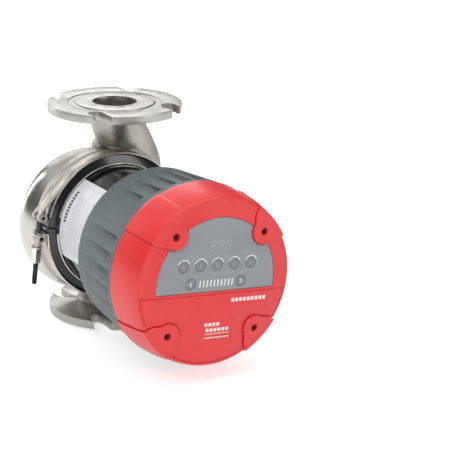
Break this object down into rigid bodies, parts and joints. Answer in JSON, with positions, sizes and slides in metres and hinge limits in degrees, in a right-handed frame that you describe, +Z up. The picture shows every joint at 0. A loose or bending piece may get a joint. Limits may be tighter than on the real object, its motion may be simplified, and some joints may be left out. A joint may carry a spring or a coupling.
{
  "type": "circulator pump",
  "caption": "In-line circulator pump with slotted flanges, a stainless casing, a V-band clamp, a black motor and a red control head with a keypad panel.",
  "frame": {"origin": "on the axis of the two ports, level with the motor shaft", "axes": "+Z up along the port axis, from inlet to outlet; -Y forward along the motor shaft, towards the control panel; +X to the right of someone facing the panel"},
  "size_m": [0.1985, 0.3245, 0.2503],
  "materials": {
    "cast_stainless": "satin, bead-blasted stainless",
    "polished_stainless": "bright stainless",
    "black_flange": "gloss black",
    "bright_steel": "bright zinc-plated steel",
    "black_enamel": "gloss black enamel",
    "label_white": "printed film label",
    "aluminium": "machined",
    "lamination": "stacked laminations",
    "copper": "enamelled copper wire",
    "carbon_ceramic": "ground ceramic",
    "brass": "turned",
    "rubber": "matt black",
    "shell_grey": "matt slate grey",
    "black_plastic": "matt black",
    "board_green": "solder mask",
    "connector_grey": "moulded",
    "cover_red": "satin red",
    "dark_screw": "blackened steel",
    "panel_grey": "printed film",
    "key_grey": "soft key"
  },
  "bodies": {
    "casing": {"pump_casing": "cast_stainless", "wear_ring": "brass", "clamp_strap_upper": "cast_stainless", "clamp_strap_lower": "cast_stainless", "clamp_hinge_pin": "bright_steel", "v_retainer_upper": "black_flange", "v_retainer_lower": "black_flange"},
    "head": {"rotor_can": "polished_stainless", "motor_screw_1": "bright_steel", "motor_screw_2": "bright_steel", "motor_screw_3": "bright_steel", "motor_screw_4": "bright_steel", "motor_housing": "black_enamel", "rating_label": "label_white", "bearing_plate": "aluminium", "bearing_holder": "aluminium", "cooling_plate": "aluminium", "stator_core": "lamination", "winding_rear": "copper", "winding_front": "copper", "line_choke": "copper", "rear_bearing": "carbon_ceramic", "front_bearing": "carbon_ceramic", "casing_o_ring": "rubber", "cover_gasket": "rubber", "ribbed_shell": "shell_grey", "conduit_plug_1": "black_plastic", "conduit_plug_2": "black_plastic", "capacitor_1": "black_plastic", "capacitor_2": "black_plastic", "display_module": "black_plastic", "power_board": "board_green", "control_board": "board_green", "terminal_block": "connector_grey", "control_cover": "cover_red", "terminal_cover": "cover_red", "cover_screw_1": "dark_screw", "cover_screw_2": "dark_screw", "cover_screw_3": "dark_screw", "cover_screw_4": "dark_screw", "panel_overlay": "panel_grey"},
    "rotor": {"shaft": "bright_steel", "rotor_core": "lamination", "thrust_bearing": "carbon_ceramic", "impeller": "polished_stainless", "impeller_nut": "bright_steel"},
    "key_1_body": {"key_1": "key_grey"},
    "key_2_body": {"key_2": "key_grey"},
    "key_3_body": {"key_3": "key_grey"},
    "key_4_body": {"key_4": "key_grey"},
    "key_5_body": {"key_5": "key_grey"},
    "key_left_body": {"key_left": "key_grey"},
    "key_right_body": {"key_right": "key_grey"},
    "swing_bolt": {"clamp_bolt": "bright_steel", "clamp_saddle": "bright_steel"},
    "washer": {"clamp_washer": "bright_steel"},
    "nut": {"clamp_nut": "bright_steel"}
  },
  "joints": [
    {"name": "head_turn", "type": "hinge", "parent": "casing", "child": "head", "pos_m": [-0.0115, 0, 0], "axis": [0, -1, 0], "range_deg": [-90, 90]},
    {"name": "rotor_spin", "type": "hinge", "parent": "head", "child": "rotor", "pos_m": [-0.0115, 0, 0], "axis": [0, -1, 0], "continuous": true},
    {"name": "key_1_press", "type": "slide", "parent": "head", "child": "key_1_body", "axis": [0, 1, 0], "range_m": [0, 0.0006], "stiffness_N_per_m": 400, "springref_m": -0.0004},
    {"name": "key_2_press", "type": "slide", "parent": "head", "child": "key_2_body", "axis": [0, 1, 0], "range_m": [0, 0.0006], "stiffness_N_per_m": 400, "springref_m": -0.0004},
    {"name": "key_3_press", "type": "slide", "parent": "head", "child": "key_3_body", "axis": [0, 1, 0], "range_m": [0, 0.0006], "stiffness_N_per_m": 400, "springref_m": -0.0004},
    {"name": "key_4_press", "type": "slide", "parent": "head", "child": "key_4_body", "axis": [0, 1, 0], "range_m": [0, 0.0006], "stiffness_N_per_m": 400, "springref_m": -0.0004},
    {"name": "key_5_press", "type": "slide", "parent": "head", "child": "key_5_body", "axis": [0, 1, 0], "range_m": [0, 0.0006], "stiffness_N_per_m": 400, "springref_m": -0.0004},
    {"name": "key_left_press", "type": "slide", "parent": "head", "child": "key_left_body", "axis": [0, 1, 0], "range_m": [0, 0.0006], "stiffness_N_per_m": 400, "springref_m": -0.0004},
    {"name": "key_right_press", "type": "slide", "parent": "head", "child": "key_right_body", "axis": [0, 1, 0], "range_m": [0, 0.0006], "stiffness_N_per_m": 400, "springref_m": -0.0004},
    {"name": "bolt_swing", "type": "hinge", "parent": "casing", "child": "swing_bolt", "pos_m": [-0.10225, -0.0156, 0.0215], "axis": [0, 1, 0], "range_deg": [0, 95]},
    {"name": "washer_slide", "type": "slide", "parent": "swing_bolt", "child": "washer", "axis": [-0.1045, 0, -0.9945], "range_m": [0, 0.0099]},
    {"name": "nut_turn", "type": "hinge", "parent": "washer", "child": "nut", "pos_m": [-0.10225, -0.0156, 0.0215], "axis": [-0.1045, 0, -0.9945], "range_deg": [0, 3600]}
  ],
  "couplings": [
    {"joint": "nut_turn", "follows": "washer_slide", "rad_per_m": 6283.2}
  ]
}
